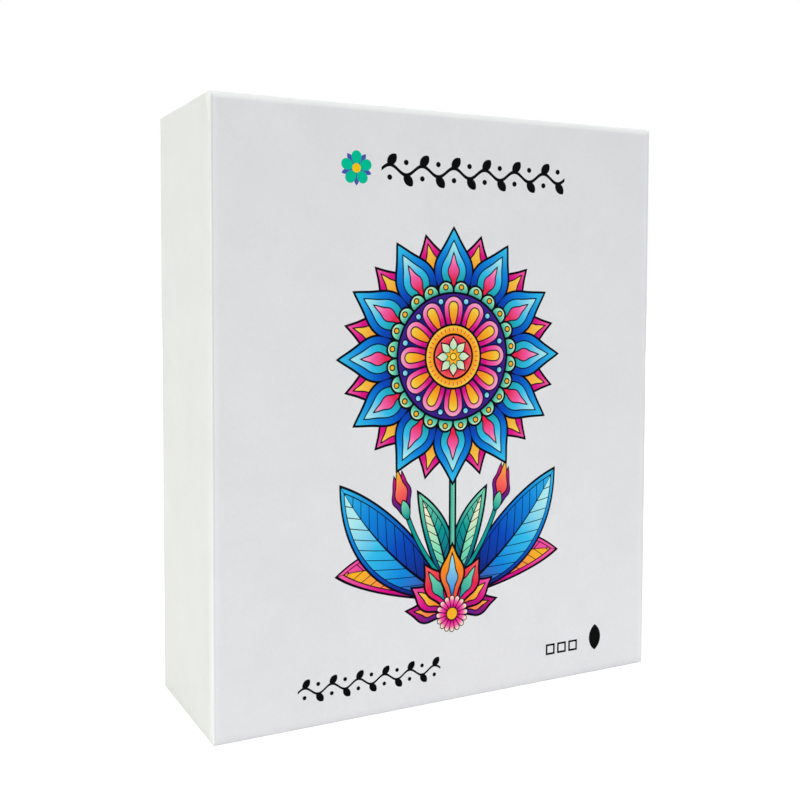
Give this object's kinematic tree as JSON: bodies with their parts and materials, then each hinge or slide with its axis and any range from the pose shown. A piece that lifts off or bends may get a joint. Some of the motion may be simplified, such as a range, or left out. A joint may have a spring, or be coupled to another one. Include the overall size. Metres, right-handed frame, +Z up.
{
  "type": "boxed jigsaw puzzle",
  "caption": "Upright white rigid box with a lift-off lid over a base tray, packed with a wooden jigsaw puzzle in made-up blocks, foam sheets and a folded poster.",
  "frame": {"origin": "under the middle of the box, on the surface it stands on", "axes": "+X to the right across the printed front, +Y from the front to the back, +Z up"},
  "size_m": [0.17, 0.055, 0.2],
  "materials": {
    "printed_wrap": "satin",
    "plain_wrap": "satin",
    "greyboard": "matte",
    "corner_tape": "matte",
    "liner_paper": "matte",
    "printed_plywood": "satin",
    "packing_card": "matte",
    "packing_foam": "matte",
    "poster_paper": "satin"
  },
  "bodies": {
    "base": {"base_wrap": "plain_wrap", "base_back_board": "greyboard", "base_top_board": "greyboard", "base_bottom_board": "greyboard", "base_left_board": "greyboard", "base_right_board": "greyboard", "base_corner_tapes": "corner_tape", "base_liner": "liner_paper"},
    "lid": {"lid_wrap": "printed_wrap", "lid_front_board": "greyboard", "lid_top_board": "greyboard", "lid_bottom_board": "greyboard", "lid_left_board": "greyboard", "lid_right_board": "greyboard", "lid_corner_tapes": "corner_tape", "lid_liner": "liner_paper"},
    "back_foam": {"back_foam_sheet": "packing_foam"},
    "section_9": {"puzzle_section_9": "printed_plywood", "section_card_9": "packing_card"},
    "section_8": {"puzzle_section_8": "printed_plywood", "section_card_8": "packing_card"},
    "section_7": {"puzzle_section_7": "printed_plywood", "section_card_7": "packing_card"},
    "section_6": {"puzzle_section_6": "printed_plywood", "section_card_6": "packing_card"},
    "section_5": {"puzzle_section_5": "printed_plywood", "section_card_5": "packing_card"},
    "section_4": {"puzzle_section_4": "printed_plywood", "section_card_4": "packing_card"},
    "section_3": {"puzzle_section_3": "printed_plywood", "section_card_3": "packing_card"},
    "section_2": {"puzzle_section_2": "printed_plywood", "section_card_2": "packing_card"},
    "section_1": {"puzzle_section_1": "printed_plywood", "section_card_1": "packing_card"},
    "front_foam": {"front_foam_sheet": "packing_foam"},
    "poster": {"reference_poster": "poster_paper"}
  },
  "joints": [
    {"name": "lid_lift", "type": "slide", "parent": "base", "child": "lid", "axis": [0, -1, 0], "range_m": [0, 0.525]},
    {"name": "back_foam_lift", "type": "slide", "parent": "base", "child": "back_foam", "axis": [0, -1, 0], "range_m": [0, 0.07]},
    {"name": "section_9_lift", "type": "slide", "parent": "base", "child": "section_9", "axis": [0, -1, 0], "range_m": [0, 0.105]},
    {"name": "section_8_lift", "type": "slide", "parent": "base", "child": "section_8", "axis": [0, -1, 0], "range_m": [0, 0.14]},
    {"name": "section_7_lift", "type": "slide", "parent": "base", "child": "section_7", "axis": [0, -1, 0], "range_m": [0, 0.175]},
    {"name": "section_6_lift", "type": "slide", "parent": "base", "child": "section_6", "axis": [0, -1, 0], "range_m": [0, 0.21]},
    {"name": "section_5_lift", "type": "slide", "parent": "base", "child": "section_5", "axis": [0, -1, 0], "range_m": [0, 0.245]},
    {"name": "section_4_lift", "type": "slide", "parent": "base", "child": "section_4", "axis": [0, -1, 0], "range_m": [0, 0.28]},
    {"name": "section_3_lift", "type": "slide", "parent": "base", "child": "section_3", "axis": [0, -1, 0], "range_m": [0, 0.315]},
    {"name": "section_2_lift", "type": "slide", "parent": "base", "child": "section_2", "axis": [0, -1, 0], "range_m": [0, 0.35]},
    {"name": "section_1_lift", "type": "slide", "parent": "base", "child": "section_1", "axis": [0, -1, 0], "range_m": [0, 0.385]},
    {"name": "front_foam_lift", "type": "slide", "parent": "base", "child": "front_foam", "axis": [0, -1, 0], "range_m": [0, 0.42]},
    {"name": "poster_lift", "type": "slide", "parent": "base", "child": "poster", "axis": [0, -1, 0], "range_m": [0, 0.455]}
  ],
  "couplings": [
    {"joint": "back_foam_lift", "follows": "lid_lift", "ratio": 0.13333},
    {"joint": "section_9_lift", "follows": "lid_lift", "ratio": 0.2},
    {"joint": "section_8_lift", "follows": "lid_lift", "ratio": 0.26667},
    {"joint": "section_7_lift", "follows": "lid_lift", "ratio": 0.33333},
    {"joint": "section_6_lift", "follows": "lid_lift", "ratio": 0.4},
    {"joint": "section_5_lift", "follows": "lid_lift", "ratio": 0.46667},
    {"joint": "section_4_lift", "follows": "lid_lift", "ratio": 0.53333},
    {"joint": "section_3_lift", "follows": "lid_lift", "ratio": 0.6},
    {"joint": "section_2_lift", "follows": "lid_lift", "ratio": 0.66667},
    {"joint": "section_1_lift", "follows": "lid_lift", "ratio": 0.73333},
    {"joint": "front_foam_lift", "follows": "lid_lift", "ratio": 0.8},
    {"joint": "poster_lift", "follows": "lid_lift", "ratio": 0.86667}
  ]
}
